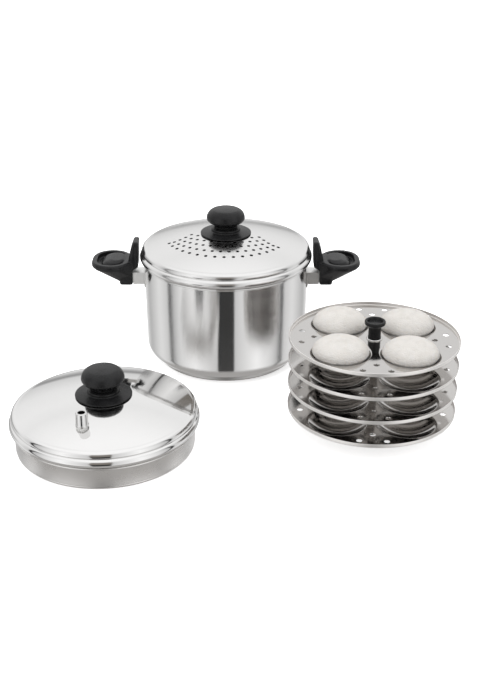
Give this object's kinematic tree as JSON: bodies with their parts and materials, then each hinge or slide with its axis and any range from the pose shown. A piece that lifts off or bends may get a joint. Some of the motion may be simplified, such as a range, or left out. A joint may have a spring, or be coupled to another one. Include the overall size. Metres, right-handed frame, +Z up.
{
  "type": "idli steamer",
  "caption": "Stovetop idli steamer: two-handled steel pot with strainer lid, shallow steam tray under a vented lid, and a tiered idli rack with a grip tube.",
  "frame": {"origin": "centre of the underside of the pot, on the surface that the set stands on", "axes": "+Z up; X runs through the pot's two side handles; the front of the set, with the tray and the rack, faces -Y"},
  "size_m": [0.5086, 0.4551, 0.1983],
  "materials": {
    "polished_steel": "mirror polished",
    "lid_steel": "polished",
    "plate_steel": "bright, fine turned marks",
    "core_aluminium": "plain",
    "brushed_steel": "satin, brushed round",
    "fitting_steel": "bright",
    "black_phenolic": "satin moulded",
    "insert_brass": "plain",
    "seal_rubber": "matte, translucent silicone",
    "idli_cake": "porous, matte"
  },
  "bodies": {
    "pot": {"pot_shell": "polished_steel", "base_core": "core_aluminium", "base_cap": "brushed_steel", "bracket_left": "fitting_steel", "bracket_right": "fitting_steel", "bracket_nut_left": "fitting_steel", "bracket_nut_right": "fitting_steel", "grip_left": "black_phenolic", "grip_right": "black_phenolic", "grip_screw_left": "fitting_steel", "grip_screw_right": "fitting_steel"},
    "strainer_lid": {"strainer_shell": "lid_steel", "strainer_knob": "black_phenolic", "strainer_knob_guard": "black_phenolic", "strainer_knob_insert": "insert_brass", "strainer_knob_screw": "fitting_steel", "strainer_knob_washer": "fitting_steel"},
    "tray": {"steam_tray": "brushed_steel"},
    "vent_lid": {"vent_shell": "lid_steel", "vent_knob": "black_phenolic", "vent_knob_guard": "black_phenolic", "vent_knob_insert": "insert_brass", "vent_knob_screw": "fitting_steel", "vent_knob_washer": "fitting_steel", "vent_tube": "fitting_steel", "vent_gasket": "seal_rubber", "vent_nut": "fitting_steel"},
    "rack": {"rack_rod": "fitting_steel", "rack_foot": "brushed_steel", "rack_foot_nut": "fitting_steel", "plate_1": "plate_steel"},
    "tier_2": {"spacer_1": "brushed_steel", "plate_2": "plate_steel"},
    "tier_3": {"spacer_2": "brushed_steel", "plate_3": "plate_steel"},
    "tier_4": {"spacer_3": "brushed_steel", "plate_4": "plate_steel"},
    "handle_seat": {"rack_handle_washer": "fitting_steel"},
    "rack_grip": {"rack_handle": "black_phenolic", "rack_handle_insert": "insert_brass"},
    "idlis": {"idli_1": "idli_cake", "idli_2": "idli_cake", "idli_3": "idli_cake", "idli_4": "idli_cake"}
  },
  "joints": [
    {"name": "strainer_lid_lift", "type": "slide", "parent": "pot", "child": "strainer_lid", "axis": [0, 0, 1], "range_m": [0, 0.09]},
    {"name": "tray_lift", "type": "slide", "parent": "pot", "child": "tray", "axis": [0, 0, 1], "range_m": [0, 0.08]},
    {"name": "vent_lid_lift", "type": "slide", "parent": "tray", "child": "vent_lid", "axis": [0, 0, 1], "range_m": [0, 0.08]},
    {"name": "rack_lift", "type": "slide", "parent": "pot", "child": "rack", "axis": [0, 0, 1], "range_m": [0, 0.14]},
    {"name": "tier_2_rise", "type": "slide", "parent": "rack", "child": "tier_2", "axis": [0, 0, 1], "range_m": [0, 0.025]},
    {"name": "tier_3_rise", "type": "slide", "parent": "rack", "child": "tier_3", "axis": [0, 0, 1], "range_m": [0, 0.05]},
    {"name": "tier_4_rise", "type": "slide", "parent": "rack", "child": "tier_4", "axis": [0, 0, 1], "range_m": [0, 0.075]},
    {"name": "grip_rise", "type": "slide", "parent": "rack", "child": "handle_seat", "axis": [0, 0, 1], "range_m": [0, 0.1]},
    {"name": "grip_turn", "type": "hinge", "parent": "handle_seat", "child": "rack_grip", "pos_m": [0.17, -0.194, 0.115], "axis": [0, 0, 1], "continuous": true},
    {"name": "idlis_lift", "type": "slide", "parent": "tier_4", "child": "idlis", "axis": [0, 0, 1], "range_m": [0, 0.03]}
  ],
  "couplings": [
    {"joint": "tier_3_rise", "follows": "tier_2_rise", "ratio": 2},
    {"joint": "tier_4_rise", "follows": "tier_2_rise", "ratio": 3},
    {"joint": "grip_rise", "follows": "tier_2_rise", "ratio": 4}
  ]
}
